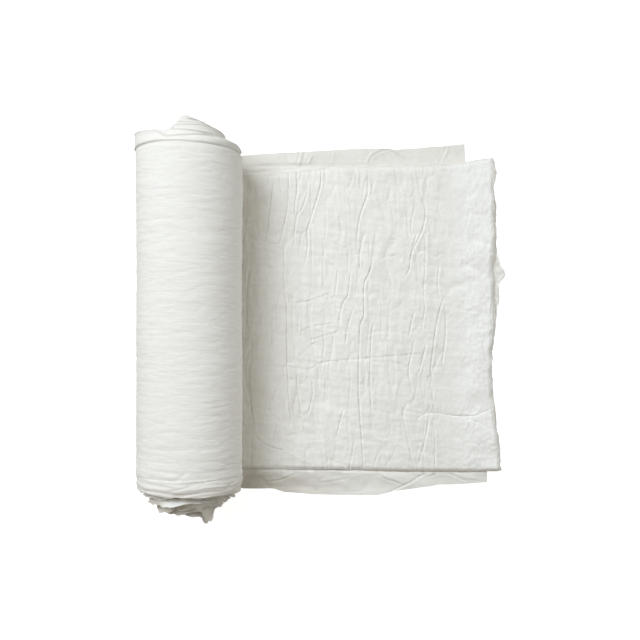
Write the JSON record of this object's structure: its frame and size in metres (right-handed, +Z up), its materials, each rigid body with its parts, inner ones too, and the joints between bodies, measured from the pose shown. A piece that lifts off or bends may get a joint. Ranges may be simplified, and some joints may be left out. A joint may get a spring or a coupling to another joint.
{
  "type": "gamgee roll",
  "caption": "Roll of absorbent cotton wool between two plies of cotton gauze, lying on its side with its outer end drawn out flat as a loose pad.",
  "frame": {"origin": "on the surface the roll lies on, under the middle of the whole piece", "axes": "+Z up from the surface, +Y along the roll's axis towards its smooth end, +X from the roll along the loose end"},
  "size_m": [0.4661, 0.4841, 0.1319],
  "materials": {
    "gauze": "open plain weave cotton gauze, bleached, matt and slightly sheer",
    "wool": "bleached cotton wool wadding, matt and fibrous"
  },
  "bodies": {
    "root": {"roll": "gauze", "back_gauze": "gauze", "wool_layer": "wool", "face_gauze": "gauze"}
  },
  "joints": []
}
